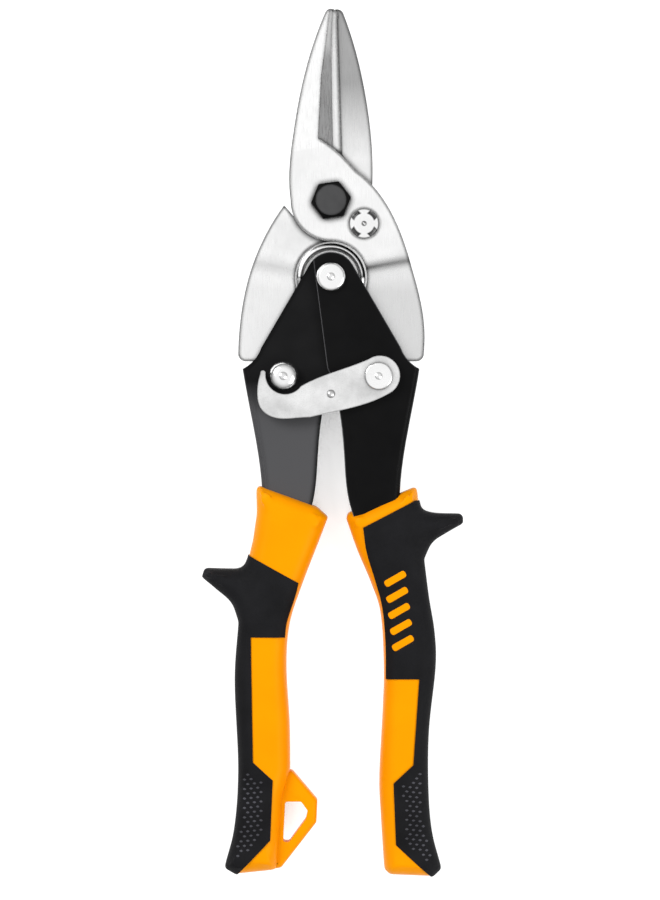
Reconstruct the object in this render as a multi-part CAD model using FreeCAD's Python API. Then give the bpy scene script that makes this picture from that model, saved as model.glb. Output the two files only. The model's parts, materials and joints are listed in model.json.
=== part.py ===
"""Straight-cut aviation snips with compound action, as separate parts. Millimetres.

Layout frame: the jaws' pivot is the origin, the tool lies flat with its jaws towards +Y, and
the plane z = 0 is the shear plane between the two jaws. export() moves everything so that the
origin is the centre of the bounding box's bottom.
"""
import FreeCAD, Part
import math
import os

V = FreeCAD.Vector
Z = V(0, 0, 1)

# Linkage: jaw pivot at the origin, handle pivot below it, one jaw rivet each side.
HANDLE_PIVOT = (0.0, -22.0)
JAW_RIVET = (13.65, -50.5)

# Jaws
JAW_THICK = 5.0
SHEAR_GAP = 0.02
HUB_R = 11.6
RELIEF_R = -HANDLE_PIVOT[1] - HUB_R
TAIL_HALF = 2.25
TAIL_EYE_R = 6.0
FACE_JOGGLE = (-15.0, -22.0)
BACK_JOGGLE = (-13.5, -25.0)
JOGGLE_TILT_DEG = 10.0
BLADE_LEAN_DEG = 1.0
TIP_THICK = 2.0
TAPER_START = 18.0
TAPER_END = 60.0
EDGE_LAND = 0.4
BEVEL_START = 1.0

# Pivot bolt, M6, 10 mm across flats
BOLT_R = 3.0
RUNNING = 0.05
HEX_FLATS = 10.0
HEX_FACE_R = 4.45
BOLT_HEAD = 4.0
WASHER_THICK = 0.8
NUT_HEIGHT = 4.1

# Stop pin, and the arc that it sweeps in the rear jaw when the jaws open
STOP_PIN = (9.5, -6.6)
STOP_PIN_R = 2.0
STOP_HEAD_R = 4.1
STOP_CLEAR = 0.2
OPENING_DEG = 16.0

# Handle channels, pressed from 2 mm sheet; the two are nested by one sheet and a small gap
SHEET = 2.0
FLANGE_GAP = 0.1
INNER_FLANGE = 3.55
FLANGE_EYE_R = 7.1
FLANGE_FLARE_DEG = 30.3
BEND_R = 1.8
OUTER_FLANGE = INNER_FLANGE + SHEET + FLANGE_GAP
FRONT_TOP = OUTER_FLANGE + SHEET

# Rivets
HANDLE_RIVET_R = 2.5
OPEN_PIVOT_CLEAR = 0.3
HANDLE_HEAD_R = 4.2
JAW_RIVET_R = 2.8
JAW_HEAD_R = 4.33
LATCH_HEAD_R = 3.9
HEAD_HEIGHT = 1.9
REAR_HEAD = 1.6

# Latch
WAVE_THICK = 0.4
LATCH_THICK = 1.8
LATCH_Z = FRONT_TOP + WAVE_THICK
LATCH_TOP = LATCH_Z + LATCH_THICK

# Return spring
WIRE_R = 1.0
COIL_R = 8.9
COIL_PITCH = 2.1
COIL_TURNS = 2
BUSH_R = 5.5

# Grips
GRIP_HALF = 10.0
GRIP_CHAMFER = 1.5
LOOP_HALF = 4.5
SLEEVE_WALL = 1.1


def turned(point, degrees):
    """The point turned about the jaws' pivot, counter-clockwise."""
    a = math.radians(degrees)
    x, y = point
    return (x * math.cos(a) - y * math.sin(a), x * math.sin(a) + y * math.cos(a))


def around(centre, radius, degrees):
    """The point at this angle on a circle."""
    a = math.radians(degrees)
    return (centre[0] + radius * math.cos(a), centre[1] + radius * math.sin(a))


def mirrored(point):
    """The point on the other side of the tool's axis."""
    return (-point[0], point[1])


def arc(middle, end):
    """A step of an outline: a circular arc through middle to end."""
    return ("arc", middle, end)


def curve(*points):
    """A step of an outline: one smooth curve through the points."""
    return ("curve", *points)


def outline(start, *steps):
    """A closed flat face; a step is a point (straight), an arc or a curve."""
    edges = []
    here = V(start[0], start[1], 0)
    for step in [*steps, start]:
        kind = step[0] if isinstance(step[0], str) else "line"
        points = [V(p[0], p[1], 0) for p in (step[1:] if kind != "line" else [step])]
        if (points[-1] - here).Length < 1e-6:
            continue
        if kind == "line":
            edges.append(Part.LineSegment(here, points[0]).toShape())
        elif kind == "arc":
            edges.append(Part.Arc(here, *points).toShape())
        else:
            spline = Part.BSplineCurve()
            spline.interpolate([here, *points])
            edges.append(spline.toShape())
        here = points[-1]
    return Part.Face(Part.Wire(edges))


def prism(face, z_low, z_high):
    """The flat face drawn out between two heights."""
    solid = face.extrude(V(0, 0, z_high - z_low))
    solid.translate(V(0, 0, z_low))
    return solid


def disc(radius, z_low, z_high, centre=(0, 0)):
    """An upright cylinder between two heights."""
    return Part.makeCylinder(radius, z_high - z_low, V(centre[0], centre[1], z_low), Z)


def tube(outer, inner, z_low, z_high, centre=(0, 0)):
    """An upright tube between two heights."""
    return disc(outer, z_low, z_high, centre).cut(disc(inner, z_low, z_high, centre))


def dome(radius, z_base, height, centre, up=1):
    """A rivet head: a short cylinder with its far rim rounded and a dimple where it was set."""
    low, high = sorted((z_base, z_base + up * height))
    head = disc(radius, low, high, centre)
    far = high if up > 0 else low
    rim = [e for e in head.Edges if abs(e.BoundBox.ZMin - far) < 1e-6 and e.BoundBox.ZLength < 1e-6]
    head = head.makeFillet(0.6 * height, rim)
    ball_r = 0.45 * radius
    return head.cut(Part.makeSphere(ball_r, V(centre[0], centre[1], far + up * 0.8 * ball_r)))


def turned_over(shape):
    """The shape turned half a turn about the tool's axis."""
    other = shape.copy()
    other.rotate(V(0, 0, 0), V(0, 1, 0), 180)
    return other


def solid_of(shape):
    """The largest solid in the shape, with merged faces."""
    best = max(shape.Solids, key=lambda s: s.Volume)
    return best.removeSplitter()


# ---------------------------------------------------------------- jaws

# From the tail's outer corner up to the hub, then round the hub to the cutting edge.
FRONT_SHOULDER = [curve((26.5, -33.0), (23.3, -19.4), (18.4, -5.6), (11.8, 4.45), (7.0, 8.6))]
REAR_SHOULDER = [
    curve((25.9, -33.0), (22.1, -17.1), (17.9, -7.9), (13.5, -1.1)),
    around((0, 0), 11.4, -25),
    arc(around((0, 0), 11.4, 8), around((0, 0), 11.4, 41)),
]


def jaw_outline(shoulder, lean):
    """Blade up and to the left, tail down to the right; the blade leans clockwise by lean."""
    blade = [turned(p, -lean) for p in [(-2.7, 54.0), (-5.9, 45.0), (-9.3, 31.2), (-11.3, 18.0)]]
    tip = turned((-0.7, 55.4), -lean)
    edge_top = turned((0.9, 52.5), -lean)
    edge_base = turned((2.9, 13.5), -lean)
    eye = JAW_RIVET
    return outline(
        edge_top,
        arc(tip, blade[0]),
        curve(*blade[1:], (-12.0, 8.0), (-HUB_R, 0)),
        arc(around((0, 0), HUB_R, 225), (0, -HUB_R)),
        arc(around(HANDLE_PIVOT, RELIEF_R, 45), around(HANDLE_PIVOT, RELIEF_R, -12)),
        (eye[0] - TAIL_EYE_R, eye[1]),
        arc((eye[0], eye[1] - TAIL_EYE_R), around(eye, TAIL_EYE_R, -20)),
        curve((19.6, -49.0), (21.3, -46.1)),
        (24.6, -46.1),
        arc((26.1, -45.5), (26.7, -44.0)),
        *shoulder,
        edge_base,
    )


def joggle(start, end):
    """Two steps that make a smooth S from start to end, level at both ends."""
    (y0, z0), (y1, z1) = start, end
    dy, dz = y1 - y0, z1 - z0
    return (
        arc((y0 + dy / 4, z0 + dz / 8), (y0 + dy / 2, z0 + dz / 2)),
        arc((y0 + 3 * dy / 4, z0 + 7 * dz / 8), end),
    )


def jaw_side():
    """The jaw seen from the side: flat hub, tapered blade, and tail offset to mid-plane."""
    top, low = (FACE_JOGGLE[0], JAW_THICK), (FACE_JOGGLE[1], TAIL_HALF)
    back_top, back_low = (BACK_JOGGLE[0], SHEAR_GAP), (BACK_JOGGLE[1], -TAIL_HALF)
    face = outline(
        (-75.0, -TAIL_HALF), (-75.0, TAIL_HALF), low, *joggle(low, top), (TAPER_START, JAW_THICK),
        (TAPER_END, TIP_THICK), (TAPER_END, SHEAR_GAP), back_top, *joggle(back_top, back_low),
    )
    upright = FreeCAD.Matrix(0, 0, 1, 0, 1, 0, 0, 0, 0, 1, 0, 0, 0, 0, 0, 1)
    side = prism(face, -60, 60)
    side.transformShape(upright)
    bend = V(0.5 * JAW_RIVET[0] + 8, 0.5 * sum(FACE_JOGGLE), 0)
    side.rotate(bend, Z, JOGGLE_TILT_DEG)
    return side


def face_height(y):
    """The height of the tapered blade's face."""
    along = max(0.0, (y - TAPER_START) / (TAPER_END - TAPER_START))
    return JAW_THICK - along * (JAW_THICK - TIP_THICK)


def grind(lean):
    """The material ground off beside the cutting edge: a sloping face, then a shallow bevel."""
    stations = [
        # y, left rim, start of bevel, cutting edge
        (56.0, -1.3, -0.5, 1.1),
        (47.0, -2.3, -0.7, 1.35),
        (36.0, -3.7, -0.4, 1.85),
        (24.0, -4.1, 0.0, 2.45),
        (10.0, -3.9, 0.5, 3.1),
    ]
    sections = []
    for y, rim, bevel, edge in stations:
        above = JAW_THICK + 2
        out = edge + 4.0
        ring = [(rim - 0.6, above), (rim, face_height(y)), (bevel, BEVEL_START), (edge, EDGE_LAND),
                (out, EDGE_LAND), (out, above)]
        points = [V(*turned((x, y), -lean), z) for x, z in ring]
        sections.append(Part.makePolygon([*points, points[0]]))
    return Part.makeLoft(sections, True, True)


def shoulder_keep():
    """The hub's full-thickness body, which the grinding stops at."""
    face = outline(
        (-9.0, 19.5), curve((-4.5, 18.2), (-0.4, 15.8), (2.9, 13.1), (7.0, 8.6), (14.0, 2.0)),
        (14.0, -8.0), (-14.0, -8.0), (-14.0, 19.5),
    )
    return prism(face, -1.0, JAW_THICK + 4)


def jaw(shoulder, lean):
    """One jaw in the front jaw's place."""
    body = prism(jaw_outline(shoulder, lean), -TAIL_HALF - 1, JAW_THICK + 1)
    body = body.common(jaw_side())
    body = body.cut(grind(lean).cut(shoulder_keep()))
    body = body.cut(disc(BOLT_R + RUNNING, -10, 10))
    body = body.cut(disc(JAW_RIVET_R + RUNNING, -10, 10, JAW_RIVET))
    return solid_of(body)


def stop_notch():
    """The arc that the stop pin runs in, cut into the rear jaw's hub, with one closed end."""
    reach = STOP_PIN_R + STOP_CLEAR
    radius = math.hypot(*STOP_PIN)
    rest = math.degrees(math.atan2(STOP_PIN[1], STOP_PIN[0]))
    end = rest + OPENING_DEG
    start = rest - 25
    low, high = radius - reach, radius + 6
    face = outline(
        around((0, 0), low, start),
        arc(around((0, 0), low, 0.5 * (start + end)), around((0, 0), low, end)),
        arc(around(around((0, 0), radius, end), reach, end + 90), around((0, 0), radius + reach, end)),
        around((0, 0), high, end),
        arc(around((0, 0), high, 0.5 * (start + end)), around((0, 0), high, start)),
    )
    return prism(face, -JAW_THICK - 1, 1)


def stake_mark(degrees):
    """One of the pin's stake marks: a short slanted groove along its rim."""
    inner, depth = STOP_HEAD_R - 1.1, 1.0
    groove = Part.makeCone(inner, inner + 1.3, depth, V(0, 0, JAW_THICK - depth), Z)
    groove = groove.cut(disc(inner, 0, 10))
    mark = groove.common(Part.makeBox(6, 2.8, 10, V(0, -1.4, 0)))
    mark.rotate(V(0, 0, 0), Z, degrees)
    mark.translate(V(STOP_PIN[0], STOP_PIN[1], 0))
    return mark


def make_jaws(parts):
    front = jaw(FRONT_SHOULDER, BLADE_LEAN_DEG)
    rear = turned_over(jaw(REAR_SHOULDER, -BLADE_LEAN_DEG))
    pin_hole = disc(STOP_HEAD_R + 0.12, 3.5, JAW_THICK + 1, STOP_PIN)
    pin_hole = pin_hole.fuse(disc(STOP_PIN_R, -1, 4, STOP_PIN))
    parts["front_jaw"] = solid_of(front.cut(pin_hole))
    parts["rear_jaw"] = solid_of(rear.cut(stop_notch()))
    pin = disc(STOP_HEAD_R, 3.5, JAW_THICK, STOP_PIN).fuse(disc(STOP_PIN_R, -3.0, 3.5, STOP_PIN))
    for k in range(4):
        pin = pin.cut(stake_mark(45 + 90 * k))
    parts["stop_pin"] = solid_of(pin.cut(Part.makeSphere(0.7, V(*STOP_PIN, JAW_THICK))))


# ---------------------------------------------------------------- pivot

def hexagon(z_low, z_high, turn):
    """A hexagonal prism with a wide chamfer round its upper end."""
    corner_r = HEX_FLATS / math.sqrt(3)
    points = [V(*around((0, 0), corner_r, turn + 60 * k), 0) for k in range(7)]
    body = prism(Part.Face(Part.makePolygon(points)), z_low, z_high)
    high = z_high - z_low
    cone = Part.makeCone(HEX_FACE_R + high, HEX_FACE_R, high, V(0, 0, z_low), Z)
    return body.common(cone)


def make_pivot(parts):
    washer_low = -JAW_THICK - WASHER_THICK
    nut_low = washer_low - NUT_HEIGHT
    head = hexagon(JAW_THICK, JAW_THICK + BOLT_HEAD, 8)
    bolt = head.fuse(disc(BOLT_R, nut_low + 0.1, JAW_THICK))
    parts["pivot_bolt"] = solid_of(bolt)
    parts["pivot_washer"] = tube(6.0, BOLT_R, washer_low, -JAW_THICK)
    nut = turned_over(hexagon(-washer_low, -nut_low, 20)).cut(disc(BOLT_R, -12, 0))
    parts["lock_nut"] = solid_of(nut)


# ---------------------------------------------------------------- handles

WEB_EDGE = [(22.7, -63.1), (20.4, -76.9), (20.0, -94.0), (21.9, -105.0), (24.0, -115.0),
            (25.0, -130.0), (24.7, -146.0), (24.2, -160.0)]
MOUTH_EDGE = [(16.9, -146.0), (17.4, -130.0), (15.6, -115.0), (11.5, -105.0), (8.0, -95.0),
              (5.4, -87.3), (3.8, -73.0), (2.7, -62.0), (-1.06, -48.1)]


def flange_outline():
    """The right handle's flange: eye at the top, flared sides, then the long tapering leg."""
    b = HANDLE_PIVOT
    corner = (-5.1, -17.1)
    foot = (20.0, -42.3)
    return outline(
        corner,
        (-1.06, -48.1),
        curve(*reversed(MOUTH_EDGE[:-1])),
        (16.8, -160.0),
        (24.2, -160.0),
        curve(*reversed(WEB_EDGE[:-1]), (25.4, -48.4)),
        arc((22.1, -45.9), foot),
        around(b, FLANGE_EYE_R, FLANGE_FLARE_DEG),
        arc(around(b, FLANGE_EYE_R, 80), corner),
    )


def channel_cavity():
    """What is open between the flanges: everything above the web, and inside it below."""
    web = [(x - SHEET, y) for x, y in WEB_EDGE]
    return outline(
        (-20.0, -8.0), (-20.0, -165.0), (22.2, -165.0), web[-1],
        curve(*reversed(web[:-1]), (23.4, -48.4)),
        (40.0, -48.4), (40.0, -8.0),
    )


def channel(front_hole, rear_hole):
    """The right handle's channel: outer flange in front, inner flange behind."""
    low = -INNER_FLANGE - SHEET
    body = prism(flange_outline(), low, FRONT_TOP)
    bends = [
        e for e in body.Edges
        if e.BoundBox.ZLength < 1e-3 and e.BoundBox.YMax < -48.3 and e.BoundBox.XMin > 19
        and e.BoundBox.YLength > 60
    ]
    body = body.makeFillet(BEND_R, bends)
    body = body.cut(prism(channel_cavity(), -INNER_FLANGE, OUTER_FLANGE))
    body = body.cut(disc(front_hole, 0, 12, HANDLE_PIVOT))
    body = body.cut(disc(rear_hole, -12, 0, HANDLE_PIVOT))
    body = body.cut(disc(JAW_RIVET_R, -12, 12, JAW_RIVET))
    return solid_of(body)


def make_handles(parts):
    tight = HANDLE_RIVET_R
    loose = HANDLE_RIVET_R + OPEN_PIVOT_CLEAR
    parts["right_handle_channel"] = channel(tight, tight)
    parts["left_handle_channel"] = turned_over(channel(loose, loose))


def make_handle_pivot(parts):
    b = HANDLE_PIVOT
    half = INNER_FLANGE - 0.05
    shank = disc(HANDLE_RIVET_R, -FRONT_TOP - 0.1, FRONT_TOP, b)
    front = dome(HANDLE_HEAD_R, FRONT_TOP, HEAD_HEIGHT, b)
    rear = dome(HANDLE_HEAD_R, -FRONT_TOP - 0.1, REAR_HEAD, b, up=-1)
    parts["handle_pivot_rivet"] = solid_of(shank.fuse([front, rear]))
    rim = half - 0.4
    parts["spring_bush"] = tube(BUSH_R, HANDLE_RIVET_R, -rim, rim, b)
    washers = [tube(6.6, HANDLE_RIVET_R, low, low + 0.35, b) for low in (rim, -rim - 0.35)]
    parts["handle_pivot_washers"] = Part.makeCompound(washers)


def spring_wire(turns, pitch):
    """The return spring: coil about the handle pivot, with a leg down each side."""
    height = turns * pitch
    helix = Part.makeHelix(pitch, height, COIL_R)
    helix.translate(V(HANDLE_PIVOT[0], HANDLE_PIVOT[1], -0.5 * height))
    return helix


def make_spring(parts):
    helix = spring_wire(COIL_TURNS, COIL_PITCH)
    start = helix.Vertexes[0].Point
    circle = Part.Wire(Part.makeCircle(WIRE_R, start, V(0, 1, 0)))
    coil = Part.Wire(helix.Edges).makePipeShell([circle], True, True)
    legs = []
    for side, z in ((1, -0.5), (-1, 0.5)):
        top = V(side * COIL_R, HANDLE_PIVOT[1], z * COIL_TURNS * COIL_PITCH)
        foot = V(side * (COIL_R - 1.0), HANDLE_PIVOT[1] - 12.0, z * COIL_PITCH)
        leg = Part.makeCylinder(WIRE_R, (foot - top).Length, top, foot - top)
        legs.append(leg.fuse(Part.makeSphere(WIRE_R, foot)))
    parts["return_spring"] = solid_of(coil.fuse(legs))


# ---------------------------------------------------------------- jaw rivets and latch

def spacers(centre, front_inner, rear_inner):
    """Two washers that centre a jaw's tail between its channel's flanges."""
    gap = 0.05
    front = tube(5.2, JAW_RIVET_R, TAIL_HALF + gap, front_inner, centre)
    rear = tube(5.2, JAW_RIVET_R, -rear_inner, -TAIL_HALF - gap, centre)
    return Part.makeCompound([front, rear])


def make_jaw_rivets(parts):
    right, left = JAW_RIVET, mirrored(JAW_RIVET)
    inner_low = -INNER_FLANGE - SHEET
    shank = disc(JAW_RIVET_R, inner_low, LATCH_TOP + 0.05, right)
    cap = dome(LATCH_HEAD_R, LATCH_TOP + 0.05, 0.7, right)
    rear = dome(JAW_HEAD_R, inner_low, REAR_HEAD + SHEET, right, up=-1)
    parts["right_jaw_rivet"] = solid_of(shank.fuse([cap, rear]))
    head_low = INNER_FLANGE + SHEET
    shank = disc(JAW_RIVET_R, -FRONT_TOP, head_low, left)
    head = dome(JAW_HEAD_R, head_low, LATCH_TOP + 0.25 - head_low, left)
    rear = dome(JAW_HEAD_R, -FRONT_TOP, REAR_HEAD, left, up=-1)
    parts["left_jaw_rivet"] = solid_of(shank.fuse([head, rear]))
    parts["right_tail_spacers"] = spacers(right, OUTER_FLANGE, INNER_FLANGE)
    parts["left_tail_spacers"] = spacers(left, INNER_FLANGE, OUTER_FLANGE)


def make_latch(parts):
    d, c = JAW_RIVET, mirrored(JAW_RIVET)
    hook_r = JAW_HEAD_R + 0.85
    face = outline(
        around(d, 5.6, 120),
        curve((4.2, -48.2), (-1.0, -50.0), (-8.6, -53.4)),
        arc(around(c, hook_r, 268), around(c, hook_r, 170)),
        arc((-19.5, -48.9), (-20.2, -49.8)),
        curve((-20.9, -52.5), (-21.1, -56.0), (-20.2, -59.6), (-17.4, -62.0), (-12.0, -62.7),
              (-6.0, -62.3)),
        curve((3.0, -60.3), (13.0, -57.3), around(d, 5.9, -50)),
        arc(around(d, 6.1, 35), around(d, 5.6, 120)),
    )
    body = prism(face, LATCH_Z, LATCH_TOP).cut(disc(JAW_RIVET_R + RUNNING, 0, 15, d))
    body = body.cut(Part.makeSphere(1.6, V(0, -55.6, LATCH_TOP + 1.1)))
    parts["latch"] = solid_of(body)
    parts["latch_wave_washer"] = tube(5.0, JAW_RIVET_R, FRONT_TOP, LATCH_Z - 0.02, d)


# ---------------------------------------------------------------- grips

def left_grip_outline():
    """Collar at the top, thumb guard on the left, heel at the bottom."""
    return outline(
        (-21.4, -81.7), (-4.4, -88.0), (-1.2, -90.9),
        curve((-3.2, -97.6), (-8.3, -111.4), (-11.6, -122.0)),
        curve((-12.5, -134.0), (-11.6, -150.0), (-11.4, -163.6)),
        (-13.6, -171.0), (-15.4, -192.6), (-27.2, -193.8), (-30.7, -191.8),
        curve((-27.8, -180.0), (-26.7, -163.0), (-27.7, -138.0), (-26.6, -121.0)),
        (-28.7, -115.0), (-37.2, -108.4), (-36.4, -105.7), (-25.3, -105.5),
        curve((-22.4, -94.5), (-21.4, -81.7)),
    )


def right_grip_outline():
    """Collar band at the top, thumb guard on the right, heel at the bottom."""
    return outline(
        (24.6, -82.1), (25.9, -89.5), (36.6, -90.3), (38.1, -92.4), (29.2, -98.3),
        (26.4, -104.5),
        curve((29.0, -119.0), (30.1, -134.0), (28.0, -164.0), (31.8, -192.0)),
        (29.2, -194.6), (16.8, -194.0), (15.0, -192.4),
        curve((13.6, -166.0), (14.9, -134.0), (11.8, -111.4), (4.6, -91.8)),
        (6.2, -89.2), (8.8, -89.0),
    )


def hang_loop():
    """The three-sided eye beside the left grip's heel."""
    outer = outline(
        (-12.5, -165.5), (-11.4, -163.6), (-3.9, -172.4), (-4.2, -178.8), (-14.3, -191.8),
        (-16.2, -192.6), (-17.0, -186.0), (-15.5, -172.0),
    )
    hole = outline(
        (-13.3, -172.8), (-8.6, -172.8), (-6.6, -175.4), (-7.1, -177.8), (-12.0, -184.4),
        (-13.9, -184.4),
    )
    return prism(outer, -LOOP_HALF, LOOP_HALF).cut(prism(hole, -LOOP_HALF, LOOP_HALF))


def grip_body(face):
    """A grip's whole outer shape with its long rims chamfered."""
    body = prism(face, -GRIP_HALF, GRIP_HALF)
    rims = [e for e in body.Edges if e.BoundBox.ZLength < 1e-3]
    return body.makeChamfer(GRIP_CHAMFER, rims)


def left_rubber():
    """Where the left grip is black: guard, outer side and heel pad."""
    return outline(
        (-50.0, -101.0), (-24.0, -101.0), (-9.3, -109.7), (-6.0, -109.7), (-6.0, -125.4),
        (-23.0, -125.4), (-22.4, -161.2), (-16.6, -166.5), (-17.3, -183.6), (-27.2, -193.9),
        (-29.0, -199.0), (-50.0, -199.0),
    )


def right_rubber():
    """Where the right grip is black: guard, front, outer side and heel pad."""
    return outline(
        (50.0, -86.6), (23.9, -86.6), (8.8, -94.3), (9.8, -107.0), (12.0, -115.0), (9.0, -130.0),
        (16.1, -137.4), (25.3, -137.4), (23.6, -162.0), (17.9, -167.3), (18.6, -184.9),
        (29.2, -194.7), (30.0, -199.0), (50.0, -199.0),
    )


def inlay_bars():
    """Five slanted bars that stand in the right grip's front face."""
    bars = []
    for k in range(5):
        bar = Part.makeBox(7.0, 2.2, 0.8, V(-3.5, -1.1, 0))
        bar.rotate(V(0, 0, 0), Z, 30)
        bar.translate(V(18.6 + 0.5 * k, -108.5 - 4.6 * k, GRIP_HALF - 0.8))
        bars.append(bar)
    return bars


def core_sleeve():
    """The right core's sleeve round the steel, which runs on under the rubber."""
    web = [(x + SLEEVE_WALL, y) for x, y in WEB_EDGE if y < -100]
    mouth = [(x - SLEEVE_WALL, y) for x, y in MOUTH_EDGE if y < -90]
    face = outline(
        (mouth[0][0], -162.0), curve(*mouth), (19.0, -92.0), curve(*web), (web[-1][0], -162.0),
    )
    half = FRONT_TOP + 0.9
    return prism(face, -half, half)


def split_grip(body, steel, rubber_face, sleeve):
    """The grip's plastic core and its rubber overmould, both cut round the steel."""
    rubber = body.common(prism(rubber_face, -GRIP_HALF - 1, GRIP_HALF + 1)).cut(sleeve)
    core = body.cut(rubber).cut(steel)
    return solid_of(core), solid_of(rubber.cut(steel))


def make_grips(parts):
    body = grip_body(left_grip_outline()).fuse(hang_loop())
    core, rubber = split_grip(body, parts["left_handle_channel"], left_rubber(),
                               turned_over(core_sleeve()))
    parts["left_grip_core"] = core
    parts["left_grip_overmould"] = rubber
    body = grip_body(right_grip_outline())
    core, rubber = split_grip(body, parts["right_handle_channel"], right_rubber(),
                               core_sleeve())
    bars = inlay_bars()
    parts["right_grip_core"] = core
    parts["right_grip_overmould"] = solid_of(rubber.cut(Part.makeCompound(bars)))
    parts["right_grip_inlay"] = Part.makeCompound(bars)


def export(parts):
    """Write every part with the origin at the middle of the whole box's bottom."""
    box = Part.makeCompound(list(parts.values())).optimalBoundingBox(False)
    shift = V(-box.Center.x, -box.Center.y, -box.ZMin)
    os.makedirs("parts", exist_ok=True)
    for name, shape in parts.items():
        placed = shape.copy()
        placed.translate(shift)
        placed.exportStep(f"parts/{name}.step")
        print(f"{name}: {len(placed.Solids)} solids, {placed.Volume:.0f} mm3, valid {placed.isValid()}")
    print(f"origin of the layout frame is at {shift.x:.3f}, {shift.y:.3f}, {shift.z:.3f}")
    print(f"whole size {box.XLength:.2f} x {box.YLength:.2f} x {box.ZLength:.2f}")


def main():
    parts = {}
    for make in (make_jaws, make_pivot, make_handles, make_handle_pivot, make_spring,
                 make_jaw_rivets, make_latch, make_grips):
        make(parts)
    export(parts)


main()
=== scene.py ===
"""Looks for the aviation snips: metal parts keep their CAD shape, grips are sculpted here."""
import json
import math

import bmesh
import bpy
import numpy as np
from mathutils import Matrix, Vector
from mathutils.bvhtree import BVHTree


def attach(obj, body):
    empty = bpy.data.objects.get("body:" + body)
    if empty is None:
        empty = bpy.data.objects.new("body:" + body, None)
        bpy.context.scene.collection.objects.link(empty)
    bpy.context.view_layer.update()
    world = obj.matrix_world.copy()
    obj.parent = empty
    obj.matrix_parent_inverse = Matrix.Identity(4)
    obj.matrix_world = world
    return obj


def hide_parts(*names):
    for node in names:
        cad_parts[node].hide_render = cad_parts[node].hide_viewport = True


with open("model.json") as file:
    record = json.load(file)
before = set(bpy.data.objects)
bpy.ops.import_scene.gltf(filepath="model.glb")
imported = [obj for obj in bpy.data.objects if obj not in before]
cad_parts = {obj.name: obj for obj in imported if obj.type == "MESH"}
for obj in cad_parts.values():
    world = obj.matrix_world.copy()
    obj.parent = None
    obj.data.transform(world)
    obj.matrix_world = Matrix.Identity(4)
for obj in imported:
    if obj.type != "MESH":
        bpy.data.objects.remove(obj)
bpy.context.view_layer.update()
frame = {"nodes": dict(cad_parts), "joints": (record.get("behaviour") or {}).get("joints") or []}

MM = 0.001
PIVOT = next(j for j in frame["joints"] if j["name"] == "front_jaw_open")["pos_m"]

# Sizes are in millimetres.
GRIP_HALF = 9.7
GRIP_ROUND = 4.6
GRIP_SOFTENING = 1.6
CROWN_HALF_WIDTH = 10.0
CROWN_DROP = 0.08
VOXEL = 0.5
SMOOTHING_STEPS = 6
YELLOW_INSET = 0.35
PIECE_EDGE = 0.2
WORK_TOP = 14.0

LOOP_HALF = 4.3
LOOP_ROUND = 1.5
LOOP_SOFTENING = 1.4
LOOP_HOLE_SOFTENING = 0.9

STUD_ROWS = 30
STUD_COLUMNS = 12
STUD_PITCH = (1.9, 1.35)
STUD_SLANT = 0.12
STUD_CORNERS = ((0.8, 0), (0, 0.55), (-0.8, 0), (0, -0.55))
STUD_TOP_SHARE = 0.65
STUD_RISE = 0.26
STUD_SINK = 0.5

BAR_COUNT = 5
BAR_START = (18.4, -108.6)
BAR_STEP = (0.55, -4.6)
BAR_ANGLE = math.radians(30)
BAR_HALF_LENGTH = 3.4
BAR_HALF_WIDTH = 1.05
BAR_SOFTENING = 0.9
BAR_HALF_THICK = 0.6
BAR_ROUND = 0.25
BAR_DEPTH = 0.5

# Where painted shade darkens the blade towards its point, and the tail below its fold.
TIP_SHADE = (12.0, 34.0)
TAIL_SHADE = (-17.0, -26.0)

FLOOR_SIZE_M = 3.0
FLOOR_DROP_M = 0.0002
FLOOR_GLOW = 0.92
CAMERA_DISTANCE_M = 1.4
CAMERA_FIELD_M = 0.2586
CAMERA_SENSOR = 24.0
CAMERA_AIM = (-0.29, -71.7, 5.0)


def at(x, y, z=0.0):
    """A place in the tool's own layout (millimetres from the jaws' pivot), in metres."""
    return Vector((PIVOT[0] + x * MM, PIVOT[1] + y * MM, PIVOT[2] + z * MM))


# ---------------------------------------------------------------- outlines

def smooth(points, steps=8):
    """A Catmull-Rom curve through the points, without its first point."""
    p = [Vector(q) for q in points]
    p = [2 * p[0] - p[1], *p, 2 * p[-1] - p[-2]]
    out = []
    for a, b, c, d in zip(p, p[1:], p[2:], p[3:]):
        for k in range(1, steps + 1):
            t = k / steps
            out.append(0.5 * (2 * b + (c - a) * t + (2 * a - 5 * b + 4 * c - d) * t * t
                              + (3 * b - a - 3 * c + d) * t ** 3))
    return out


def outline(*runs):
    """A closed outline: a run that is one point is a corner, a list is a smooth curve."""
    points = []
    for run in runs:
        if isinstance(run, list):
            points += smooth([points[-1], *run])
        else:
            points.append(Vector(run))
    if (points[0] - points[-1]).length < 1e-6:
        points.pop()
    return points


def softened(points, radius, steps=4):
    """The outline with each sharp corner cut back and rounded."""
    out = []
    n = len(points)
    for k in range(n):
        a, b, c = points[k - 1], points[k], points[(k + 1) % n]
        u, v = (a - b), (c - b)
        turn = math.pi - u.angle(v, math.pi)
        if turn < math.radians(12):
            out.append(b)
            continue
        cut = min(radius * math.tan(turn / 2), 0.45 * u.length, 0.45 * v.length)
        start, end = b + u.normalized() * cut, b + v.normalized() * cut
        for i in range(steps + 1):
            t = i / steps
            out.append(start * (1 - t) ** 2 + b * 2 * t * (1 - t) + end * t ** 2)
    return out


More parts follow.
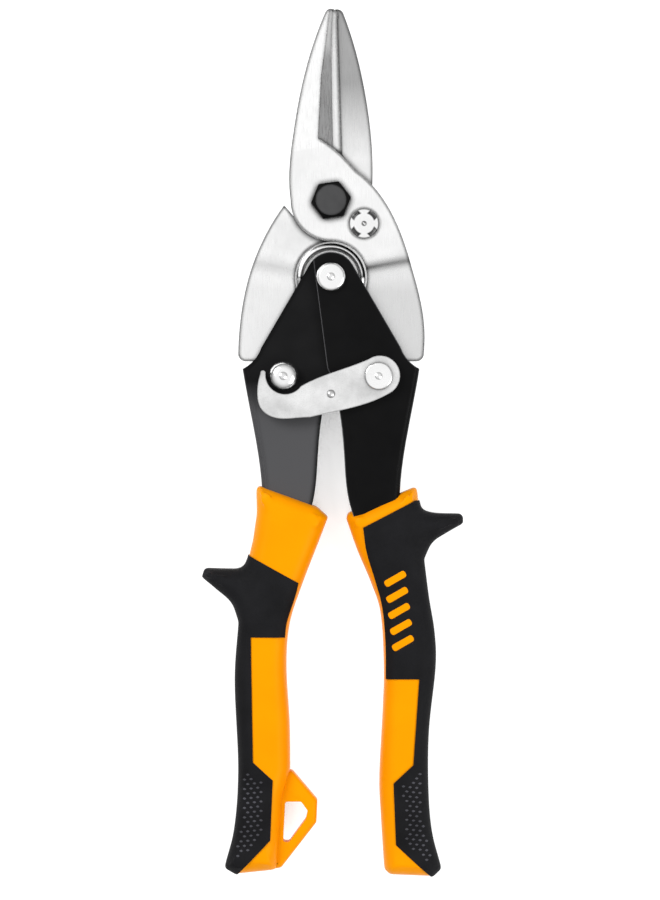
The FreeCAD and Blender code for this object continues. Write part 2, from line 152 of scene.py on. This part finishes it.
LEFT_GRIP = outline(
    (-21.9, -81.1), (-4.0, -87.6), (-0.4, -90.8),
    [(-3.0, -97.6), (-8.3, -111.4), (-11.6, -122.0), (-12.5, -134.0), (-11.6, -150.0),
     (-11.4, -163.6)],
    (-13.6, -171.0), (-15.4, -192.6), (-27.2, -193.8), (-30.7, -191.8),
    [(-27.8, -180.0), (-26.7, -163.0), (-27.7, -138.0), (-26.6, -121.0)],
    [(-28.7, -115.6), (-33.0, -111.7), (-37.2, -108.2)], (-36.4, -105.7),
    [(-30.0, -105.9), (-26.4, -105.7), (-24.4, -103.6), (-22.8, -97.5)],
    (-21.7, -90.0),
)
RIGHT_GRIP = outline(
    (25.0, -81.5), (25.4, -86.0),
    [(26.4, -88.6), (30.0, -89.8), (37.4, -90.0)], (38.0, -90.8), (38.0, -92.8),
    [(33.4, -95.4), (29.2, -98.3), (26.8, -103.0)],
    [(28.2, -114.0), (29.8, -124.0), (30.1, -134.0), (28.2, -152.0), (28.0, -168.0),
     (29.0, -181.0), (31.8, -192.0)],
    (29.2, -194.5), (16.8, -194.0), (15.0, -192.4),
    [(14.1, -178.0), (13.6, -166.0), (14.6, -146.0), (14.9, -134.0), (14.0, -119.0),
     (11.2, -110.0), (7.2, -100.5), (4.0, -91.4)],
    (4.6, -89.2), (8.8, -88.6),
)
LEFT_RUBBER = outline(
    (-50.0, -101.6), (-23.7, -101.9), (-9.3, -109.9),
    [(-10.2, -113.6), (-12.6, -121.0), (-13.2, -125.5)],
    (-23.0, -125.4), (-22.4, -161.2), (-16.7, -166.4), (-17.4, -183.6), (-27.2, -193.9),
    (-29.0, -199.0), (-50.0, -199.0),
)
RIGHT_RUBBER = outline(
    (50.0, -86.2), (24.2, -86.2), (9.2, -94.0),
    [(10.2, -101.0), (12.6, -109.0), (14.7, -117.0), (15.6, -127.0), (15.7, -137.4)],
    (25.3, -137.4), (23.6, -162.0), (17.9, -167.3), (18.6, -184.9),
    (29.2, -194.7), (30.0, -199.0), (50.0, -199.0),
)
LOOP = outline(
    (-17.0, -166.0), (-11.4, -163.6), (-3.9, -172.4), (-4.2, -178.8), (-14.3, -191.8),
    (-17.2, -192.4),
)
LOOP_HOLE = outline(
    (-13.2, -172.8), (-8.6, -172.8), (-6.7, -175.4), (-7.2, -177.8), (-12.0, -184.4),
    (-13.8, -184.4),
)
LEFT_PAD = [Vector(p) for p in (
    (-25.6, -163.0), (-22.6, -163.4), (-18.6, -167.3), (-19.3, -182.6), (-26.8, -190.2),
    (-28.6, -189.0), (-25.9, -176.0))]
RIGHT_PAD = [Vector(p) for p in (
    (24.2, -163.4), (26.6, -163.2), (26.9, -176.0), (29.6, -189.6), (28.4, -191.2),
    (20.4, -184.0), (19.8, -168.2))]


# ---------------------------------------------------------------- mesh helpers

def new_object(name, mesh):
    """Put a mesh in the scene, shaded smooth."""
    thing = bpy.data.objects.new(name, mesh)
    bpy.context.collection.objects.link(thing)
    for face in mesh.polygons:
        face.use_smooth = True
    return thing


def baked(thing):
    """Replace an object's modifiers by their result."""
    graph = bpy.context.evaluated_depsgraph_get()
    graph.update()
    mesh = bpy.data.meshes.new_from_object(thing.evaluated_get(graph))
    old = thing.data
    thing.modifiers.clear()
    thing.data = mesh
    bpy.data.meshes.remove(old)
    return thing


def modifier(thing, kind, **settings):
    """Add a modifier and set it up."""
    mod = thing.modifiers.new(kind.lower(), kind)
    for key, value in settings.items():
        setattr(mod, key, value)
    return mod


def prism(name, points, z_low, z_high):
    """An upright prism over an outline."""
    bm = bmesh.new()
    base = [bm.verts.new(at(p.x, p.y, z_low)) for p in points]
    face = bm.faces.new(base)
    top = bmesh.ops.extrude_face_region(bm, geom=[face])
    raised = [v for v in top["geom"] if isinstance(v, bmesh.types.BMVert)]
    bmesh.ops.translate(bm, verts=raised, vec=(0, 0, (z_high - z_low) * MM))
    bmesh.ops.recalc_face_normals(bm, faces=bm.faces)
    mesh = bpy.data.meshes.new(name)
    bm.to_mesh(mesh)
    bm.free()
    return new_object(name, mesh)


def rounded_plate(name, points, half, radius, inset=0.0):
    """A flat body with a rounded rim; inset makes it that much smaller on every side."""
    data = bpy.data.curves.new(name, "CURVE")
    data.dimensions = "2D"
    data.fill_mode = "BOTH"
    spline = data.splines.new("POLY")
    spline.points.add(len(points) - 1)
    for slot, p in zip(spline.points, points):
        slot.co = (p.x * MM, p.y * MM, 0, 1)
    spline.use_cyclic_u = True
    data.extrude = (half - inset - radius) * MM
    data.bevel_depth = radius * MM
    data.bevel_resolution = 6
    data.offset = -(radius + inset) * MM
    shape = bpy.data.objects.new(name + "_curve", data)
    bpy.context.collection.objects.link(shape)
    graph = bpy.context.evaluated_depsgraph_get()
    mesh = bpy.data.meshes.new_from_object(shape.evaluated_get(graph))
    bpy.data.objects.remove(shape)
    mesh.transform(Matrix.Translation(at(0, 0)))
    return new_object(name, mesh)


def boolean(thing, other, operation, keep=False):
    """Combine two solids, and drop the second one unless it is needed again."""
    modifier(thing, "BOOLEAN", object=other, operation=operation, solver="EXACT")
    baked(thing)
    if not keep:
        bpy.data.objects.remove(other)
    return thing


def soft_body(name, points, spine, inset=0.0):
    """A grip's body: a rounded plate with softened forms and a slightly domed front and back."""
    body = rounded_plate(name, softened(points, GRIP_SOFTENING), GRIP_HALF, GRIP_ROUND, inset)
    modifier(body, "REMESH", mode="VOXEL", voxel_size=VOXEL * MM)
    modifier(body, "SMOOTH", factor=0.5, iterations=SMOOTHING_STEPS)
    return crown(baked(body), spine)


def crown(thing, centre_line):
    """Make the flat front and back slightly domed across the grip's width."""
    ys = np.array([p[1] for p in centre_line])[::-1]
    xs = np.array([p[0] for p in centre_line])[::-1]
    for vert in thing.data.vertices:
        x = (vert.co.x - PIVOT[0]) / MM
        y = (vert.co.y - PIVOT[1]) / MM
        away = min(1.0, abs(x - np.interp(y, ys, xs)) / CROWN_HALF_WIDTH)
        z = vert.co.z - PIVOT[2]
        vert.co.z = PIVOT[2] + z * (1.0 - CROWN_DROP * away * away)
    return thing


def tidy_edges(thing, width):
    """Round the crisp edges a little."""
    modifier(thing, "BEVEL", width=width * MM, segments=2, limit_method="ANGLE",
             angle_limit=math.radians(35))


# ---------------------------------------------------------------- materials

class Nodes:
    """A small helper that builds one material's node tree."""

    def __init__(self, name):
        self.material = bpy.data.materials.new(name)
        self.material.use_nodes = True
        self.tree = self.material.node_tree
        self.shader = self.tree.nodes["Principled BSDF"]
        self.place = self.add("ShaderNodeTexCoord").outputs["Object"]

    def add(self, kind, inputs=None, **settings):
        node = self.tree.nodes.new(kind)
        for key, value in settings.items():
            setattr(node, key, value)
        for key, value in (inputs or {}).items():
            self.put(node.inputs[key], value)
        return node

    def put(self, socket, value):
        if isinstance(value, bpy.types.NodeSocket):
            self.tree.links.new(value, socket)
        else:
            socket.default_value = value

    def stretched(self, scale):
        return self.add("ShaderNodeMapping", {"Vector": self.place, "Scale": scale}).outputs[0]

    def noise(self, scale, detail=3.0, where=None, roughness=0.55):
        return self.add("ShaderNodeTexNoise", {"Vector": where or self.place, "Scale": scale,
                        "Detail": detail, "Roughness": roughness}).outputs["Fac"]

    def span(self, value, low, high, start=0.3, end=0.7):
        return self.add("ShaderNodeMapRange", {"Value": value, "From Min": start,
                        "From Max": end, "To Min": low, "To Max": high}).outputs[0]

    def mix(self, factor, first, second):
        node = self.add("ShaderNodeMix", data_type="RGBA")
        self.put(node.inputs["Factor"], factor)
        self.put(node.inputs[6], first)
        self.put(node.inputs[7], second)
        return node.outputs[2]

    def plus(self, first, second, operation="ADD"):
        return self.add("ShaderNodeMath", {0: first, 1: second}, operation=operation).outputs[0]

    def edge(self, radius, full):
        """How near a crisp edge a place is, from 0 to 1."""
        rounded = self.add("ShaderNodeBevel", {"Radius": radius * MM}, samples=6).outputs[0]
        flat = self.add("ShaderNodeNewGeometry").outputs["True Normal"]
        same = self.add("ShaderNodeVectorMath", {0: rounded, 1: flat},
                        operation="DOT_PRODUCT").outputs["Value"]
        return self.span(self.plus(1.0, same, "SUBTRACT"), 0.0, 1.0, 0.01, full)

    def crevice(self, reach, shut=0.45, clear=0.95):
        """How much a place is shut in by its neighbours, from 0 to 1."""
        open_share = self.add("ShaderNodeAmbientOcclusion", {"Distance": reach * MM},
                              samples=6).outputs["AO"]
        return self.span(open_share, 1.0, 0.0, shut, clear)

    def lean(self):
        """How far a face leans from level, from 0 to 1."""
        normal = self.add("ShaderNodeNewGeometry").outputs["True Normal"]
        z = self.add("ShaderNodeSeparateXYZ", {0: normal}).outputs["Z"]
        return self.span(self.plus(z, 0.0, "ABSOLUTE"), 1.0, 0.0, 0.75, 0.95)

    def along(self, start, end):
        """A ramp down the tool's length, from 0 at start to 1 at end."""
        y = self.add("ShaderNodeSeparateXYZ", {0: self.place}).outputs["Y"]
        return self.span(y, 0.0, 1.0, at(0, start).y, at(0, end).y)

    def bump(self, height, distance, strength):
        node = self.add("ShaderNodeBump", {"Height": height, "Distance": distance,
                        "Strength": strength})
        self.put(self.shader.inputs["Normal"], node.outputs[0])

    def set(self, **values):
        for key, value in values.items():
            self.put(self.shader.inputs[key.replace("_", " ")], value)


LEFT_SPINE = [(-11.0, -85.0), (-12.5, -95.0), (-15.5, -105.0), (-18.5, -116.0),
              (-19.8, -130.0), (-19.7, -150.0), (-20.5, -170.0), (-22.5, -192.0)]
RIGHT_SPINE = [(15.0, -86.0), (16.0, -95.0), (17.5, -105.0), (20.0, -116.0),
               (22.3, -130.0), (21.5, -150.0), (21.0, -170.0), (23.0, -192.0)]


def grey(v, tint=0.0):
    return (v, v, v * (1 + tint), 1.0)


def steel(name, light, dark, rough_low, rough_high, brush=(1.0, 0.06, 1.0), grain=900.0,
          rim=0.45, rim_width=0.6, tip=None, tail=None, slopes=None):
    """Satin steel with fine directional grinding lines and faint cloudy patches.

    The rest are brightnesses of painted shade: rim along its crisp edges, over rim_width
    millimetres, and rim squared in its crevices; tip and tail towards the blade's point and
    the jaw's tail; slopes on faces that aren't level.
    """
    m = Nodes(name)
    lines = m.noise(grain * 4, 2.0, m.stretched(brush))
    clouds = m.noise(grain * 0.12, 4.0)
    colour = m.mix(m.span(clouds, 0.0, 1.0), grey(light), grey(dark))
    # Painted shade: darker towards the blade's point and below the tail's fold.
    if tip:
        colour = m.mix(m.along(*TIP_SHADE), colour, grey(tip))
    if tail:
        colour = m.mix(m.along(*TAIL_SHADE), colour, grey(tail))
    # Painted shade on faces that lean from level.
    if slopes:
        colour = m.mix(m.lean(), colour, grey(slopes))
    # Painted shade: the crisp edges are darkened.
    colour = m.mix(m.edge(rim_width, 0.12), colour, grey(rim))
    # Painted shade where neighbouring parts shut a place in.
    colour = m.mix(m.crevice(1.8), colour, grey(rim * rim))
    m.set(Base_Color=colour, Metallic=1.0)
    m.set(Roughness=m.plus(m.span(lines, rough_low, rough_high), m.span(clouds, -0.03, 0.04)))
    m.bump(lines, 0.00002, 0.35)
    return m.material


def painted(name, base, rough, rim, rim_width=0.5, tint=0.05, painted_sheen=None, sides=None):
    """Black electro-coated sheet: fine orange peel, slightly rubbed in patches.

    rim is how grey its crisp edges are, over rim_width millimetres: painted shade where
    darker, edge wear with a painted highlight where paler; painted_sheen is a painted
    reflection (where it begins, where it is full, how grey), down the tool's length; sides
    is how grey painted shade makes the faces that aren't level.
    """
    m = Nodes(name)
    peel = m.noise(1800.0, 3.0)
    rub = m.noise(90.0, 5.0)
    colour = m.mix(m.span(rub, 0.0, 1.0), grey(base, tint), grey(base * 1.5, tint))
    # A painted reflection: the sheet turns grey down the tool's length.
    if painted_sheen:
        start, full, sheen_grey = painted_sheen
        colour = m.mix(m.along(start, full), colour, grey(sheen_grey, tint))
    # Painted shade on faces that lean from level.
    if sides:
        colour = m.mix(m.lean(), colour, grey(sides, tint))
    # Crisp edges: darker is painted shade, paler is edge wear with a painted highlight.
    colour = m.mix(m.edge(rim_width, 0.06), colour, grey(rim, tint))
    m.set(Base_Color=colour)
    m.set(Roughness=m.span(rub, rough - 0.05, rough + 0.08))
    m.set(Specular_IOR_Level=0.05)
    m.bump(peel, 0.00004, 0.25)
    return m.material


def plastic(name):
    """Moulded yellow plastic: nearly even colour and a fine spark texture."""
    m = Nodes(name)
    spark = m.noise(2600.0, 2.0)
    flow = m.noise(60.0, 3.0)
    colour = m.mix(m.span(flow, 0.0, 1.0), (0.88, 0.305, 0.0, 1), (0.84, 0.28, 0.0, 1))
    m.set(Base_Color=colour, Roughness=m.span(spark, 0.34, 0.46),
          Specular_IOR_Level=0.2, Specular_Tint=(1.0, 0.6, 0.1, 1))
    m.bump(spark, 0.00003, 0.3)
    return m.material


def rubber(name, lift=1.0):
    """Matte black rubber with a fine grain; lift makes all of it paler."""
    m = Nodes(name)
    grain = m.noise(2200.0, 4.0, roughness=0.7)
    dust = m.noise(120.0, 5.0)
    m.set(Base_Color=m.mix(m.span(dust, 0.0, 1.0), grey(0.005 * lift, 0.15),
                           grey(0.009 * lift, 0.15)))
    m.set(Roughness=m.span(grain, 0.55, 0.78), Specular_IOR_Level=0.10)
    m.bump(grain, 0.00006, 0.5)
    return m.material


# For these steels, rim, tip, tail and slopes give the brightness of painted shade.
FRONT_STEEL = steel("front_jaw_steel", 0.93, 0.80, 0.24, 0.36, rim=0.05, rim_width=1.8,
                    tail=0.66, slopes=0.6)
REAR_STEEL = steel("rear_jaw_steel", 0.90, 0.76, 0.24, 0.36, rim=0.05, rim_width=1.8,
                   tip=0.37, tail=0.80)
RIVET = steel("zinc_rivet", 0.95, 0.86, 0.14, 0.24, brush=(1, 1, 1), rim=0.6)
LATCH_ZINC = steel("latch_zinc", 0.84, 0.58, 0.22, 0.40, brush=(0.4, 1, 1), grain=1400.0,
                   rim=0.25)
WIRE = steel("spring_steel", 0.92, 0.80, 0.16, 0.26, brush=(1, 1, 1), rim=0.25)
TURNED = steel("turned_steel", 0.55, 0.42, 0.3, 0.42, brush=(1, 1, 0.1))
# Painted shade darkens the bolt's crisp edges and leaning faces.
BOLT_BLACK = painted("black_oxide", 0.05, 0.42, 0.002, 1.1, 0.02, sides=0.003)
# Its paler crisp edges are edge wear with a painted highlight.
CHANNEL_BLACK = painted("black_channel", 0.003, 0.36, 0.09)
# The left channel is the same black sheet, with a painted reflection greying it down its length
# and painted shade on its wide rims.
CHANNEL_SHEENED = painted("grey_channel", 0.006, 0.40, 0.003, 2.6, painted_sheen=(-52.0, -60.0, 0.07))
YELLOW = plastic("yellow_plastic")
RUBBER = rubber("black_rubber")
# A paler copy of the rubber for the pad's studs.
STUD_RUBBER = rubber("paler_stud_rubber", 9.0)

CAD_MATERIALS = {
    "front_jaw": FRONT_STEEL, "rear_jaw": REAR_STEEL, "stop_pin": RIVET, "pivot_bolt": BOLT_BLACK,
    "pivot_washer": RIVET, "lock_nut": BOLT_BLACK, "right_handle_channel": CHANNEL_BLACK,
    "left_handle_channel": CHANNEL_SHEENED, "handle_pivot_rivet": RIVET,
    "handle_pivot_washers": TURNED, "spring_bush": TURNED, "return_spring": WIRE,
    "right_jaw_rivet": RIVET, "left_jaw_rivet": RIVET, "right_tail_spacers": TURNED,
    "left_tail_spacers": TURNED, "latch": LATCH_ZINC, "latch_wave_washer": WIRE,
}
EDGE_ROUND = {"front_jaw": 0.35, "rear_jaw": 0.35, "latch": 0.3, "right_handle_channel": 0.3,
              "left_handle_channel": 0.3, "pivot_bolt": 0.2, "lock_nut": 0.2}


def dress_cad_nodes():
    """Give every CAD node that is shown its material, and round its crisp edges."""
    for node, material in CAD_MATERIALS.items():
        thing = frame["nodes"][node]
        thing.data.materials.clear()
        thing.data.materials.append(material)
        if node in EDGE_ROUND:
            tidy_edges(thing, EDGE_ROUND[node])


# ---------------------------------------------------------------- grips

def core_and_rubber(side, points, spine, region):
    """A grip's plastic core, set in a little, and the rubber moulded over part of it."""
    core = soft_body(side + "_grip_core_skin", points, spine, YELLOW_INSET)
    black = soft_body(side + "_grip_rubber", points, spine)
    cutter = prism("cutter", region, -WORK_TOP, WORK_TOP)
    boolean(black, cutter, "INTERSECT", keep=True)
    boolean(core, cutter, "DIFFERENCE")
    return core, black


def place(thing, material, body, slot, *nodes):
    """Give a piece its material, hang it on what it rides on, and hide the CAD nodes it stands
    for.
    """
    thing.data.materials.clear()
    thing.data.materials.append(material)
    for face in thing.data.polygons:
        face.material_index = 0
        face.use_smooth = True
    tidy_edges(thing, PIECE_EDGE)
    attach(thing, body)
    if nodes:
        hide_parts(*nodes)


def inside(point, polygon):
    """Whether a point lies inside a polygon."""
    hit = False
    for a, b in zip(polygon, [*polygon[1:], polygon[0]]):
        if (a.y > point.y) != (b.y > point.y):
            cross = a.x + (point.y - a.y) * (b.x - a.x) / (b.y - a.y)
            hit ^= point.x < cross
    return hit


def pad_studs(name, polygon, side, body):
    """Rows of small raised diamonds that follow the front and back of a grip's heel pad."""
    surface = BVHTree.FromObject(body, bpy.context.evaluated_depsgraph_get())
    bm = bmesh.new()
    pitch_x, pitch_y = STUD_PITCH

    def on_surface(p, face, lift):
        spot = surface.ray_cast(at(*p, 2 * face * WORK_TOP), Vector((0, 0, -face)))[0]
        return spot and spot + Vector((0, 0, face * lift * MM))

    low_y = min(p.y for p in polygon)
    low_x = min(p.x for p in polygon)
    for row in range(STUD_ROWS):
        for column in range(STUD_COLUMNS):
            x = low_x + (column + 0.5 * (row % 2)) * pitch_x
            centre = Vector((x, low_y + row * pitch_y + STUD_SLANT * side * x))
            corners = [centre + Vector(c) for c in STUD_CORNERS]
            if not all(inside(c, polygon) for c in corners):
                continue
            for face in (1, -1):
                tops = [on_surface(centre + (c - centre) * STUD_TOP_SHARE, face, STUD_RISE)
                        for c in corners]
                feet = [on_surface(c, face, -STUD_SINK) for c in corners]
                if not all(tops) or not all(feet):
                    continue
                top = [bm.verts.new(p) for p in tops]
                foot = [bm.verts.new(p) for p in feet]
                bm.faces.new(top)
                bm.faces.new(foot[::-1])
                for k in range(4):
                    bm.faces.new((foot[k], foot[(k + 1) % 4], top[(k + 1) % 4], top[k]))
    bmesh.ops.recalc_face_normals(bm, faces=bm.faces)
    mesh = bpy.data.meshes.new(name)
    bm.to_mesh(mesh)
    bm.free()
    return new_object(name, mesh)


def build_left_grip():
    """The left grip: core, rubber, hang loop and pad."""
    core, black = core_and_rubber("left", LEFT_GRIP, LEFT_SPINE, LEFT_RUBBER)
    loop = rounded_plate("left_hang_loop", softened(LOOP, LOOP_SOFTENING), LOOP_HALF, LOOP_ROUND)
    hole = prism("hole", softened(LOOP_HOLE, LOOP_HOLE_SOFTENING), -WORK_TOP, WORK_TOP)
    boolean(loop, hole, "DIFFERENCE")
    place(core, YELLOW, "left_handle", "yellow_plastic", "left_grip_core")
    place(black, RUBBER, "left_handle", "black_rubber", "left_grip_overmould")
    place(loop, YELLOW, "left_handle", "yellow_plastic")
    studs = pad_studs("left_pad_texture", LEFT_PAD, 1, black)
    place(studs, STUD_RUBBER, "left_handle", "black_rubber")


def inlay():
    """Plain slanted bars moulded into the right grip's front."""
    bars = []
    along = Vector((math.cos(BAR_ANGLE), math.sin(BAR_ANGLE)))
    across = Vector((-along.y, along.x))
    for k in range(BAR_COUNT):
        centre = Vector((BAR_START[0] + BAR_STEP[0] * k, BAR_START[1] + BAR_STEP[1] * k))
        corners = [centre + along * (BAR_HALF_LENGTH * a) + across * (BAR_HALF_WIDTH * b)
                   for a, b in ((1, 1), (-1, 1), (-1, -1), (1, -1))]
        bar = rounded_plate(f"bar_{k}", softened(corners, BAR_SOFTENING), BAR_HALF_THICK,
                            BAR_ROUND)
        bar.data.transform(Matrix.Translation((0, 0, (GRIP_HALF - BAR_DEPTH) * MM)))
        bars.append(bar)
    bpy.ops.object.select_all(action="DESELECT")
    for bar in bars:
        bar.select_set(True)
    bpy.context.view_layer.objects.active = bars[0]
    bpy.ops.object.join()
    bars[0].name = "right_grip_bars"
    return bars[0]


def build_right_grip():
    """The right grip: core, rubber, bars and pad."""
    core, black = core_and_rubber("right", RIGHT_GRIP, RIGHT_SPINE, RIGHT_RUBBER)
    place(core, YELLOW, "right_handle", "yellow_plastic", "right_grip_core")
    place(black, RUBBER, "right_handle", "black_rubber", "right_grip_overmould")
    place(inlay(), YELLOW, "right_handle", "yellow_inlay", "right_grip_inlay")
    studs = pad_studs("right_pad_texture", RIGHT_PAD, -1, black)
    place(studs, STUD_RUBBER, "right_handle", "black_rubber")


# ---------------------------------------------------------------- stage

def build_floor():
    """A plain pale table that glows, with painted shade where the tool shuts it in."""
    bpy.ops.mesh.primitive_plane_add(size=FLOOR_SIZE_M, location=(0, 0, -FLOOR_DROP_M))
    floor = bpy.context.object
    floor.name = "floor"
    m = Nodes("floor_paper")
    # Painted shade: the glow is cut where the tool shuts the floor in, under and between the
    # parts.
    m.set(Base_Color=m.mix(m.noise(40.0), grey(0.30), grey(0.33)), Roughness=0.9,
          Emission_Color=m.mix(m.crevice(40.0, 0.02, 0.07), grey(1.0), grey(0.0)),
          Emission_Strength=FLOOR_GLOW, Specular_IOR_Level=0.0)
    floor.data.materials.append(m.material)


def area_light(name, where, size, power):
    """A soft square light aimed at the middle of the tool."""
    data = bpy.data.lights.new(name, "AREA")
    data.shape = "SQUARE"
    data.size = size
    data.energy = power
    light = bpy.data.objects.new(name, data)
    bpy.context.collection.objects.link(light)
    light.location = where
    light.rotation_euler = (-Vector(where)).to_track_quat("-Z", "Y").to_euler()


def build_studio():
    """A white tent that is darker towards the horizon, so that rims and edges draw a line."""
    world = bpy.data.worlds.new("studio")
    world.use_nodes = True
    tree = world.node_tree
    direction = tree.nodes.new("ShaderNodeTexCoord")
    axes = tree.nodes.new("ShaderNodeSeparateXYZ")
    height = tree.nodes.new("ShaderNodeMapRange")
    height.inputs["From Min"].default_value = 0.0
    height.inputs["From Max"].default_value = 0.95
    height.inputs["To Min"].default_value = 0.10
    height.inputs["To Max"].default_value = 1.0
    tree.links.new(direction.outputs["Generated"], axes.inputs[0])
    tree.links.new(axes.outputs["Z"], height.inputs["Value"])
    tree.links.new(height.outputs[0], tree.nodes["Background"].inputs["Color"])
    bpy.context.scene.world = world
    area_light("key", (-0.6, 0.5, 0.8), 0.5, 7.0)
    area_light("fill", (0.7, -0.3, 0.6), 0.5, 4.0)


def build_camera():
    """Straight above the tool, long lens, with the blades pointing up the picture."""
    data = bpy.data.cameras.new("camera")
    data.sensor_fit = "VERTICAL"
    data.sensor_height = CAMERA_SENSOR
    data.lens = CAMERA_SENSOR * CAMERA_DISTANCE_M / CAMERA_FIELD_M
    camera = bpy.data.objects.new("camera", data)
    camera.location = at(*CAMERA_AIM) + Vector((0, 0, CAMERA_DISTANCE_M))
    bpy.context.collection.objects.link(camera)
    bpy.context.scene.camera = camera


bpy.context.scene.view_settings.view_transform = "Standard"
build_camera()
dress_cad_nodes()
build_left_grip()
build_right_grip()
build_floor()
build_studio()
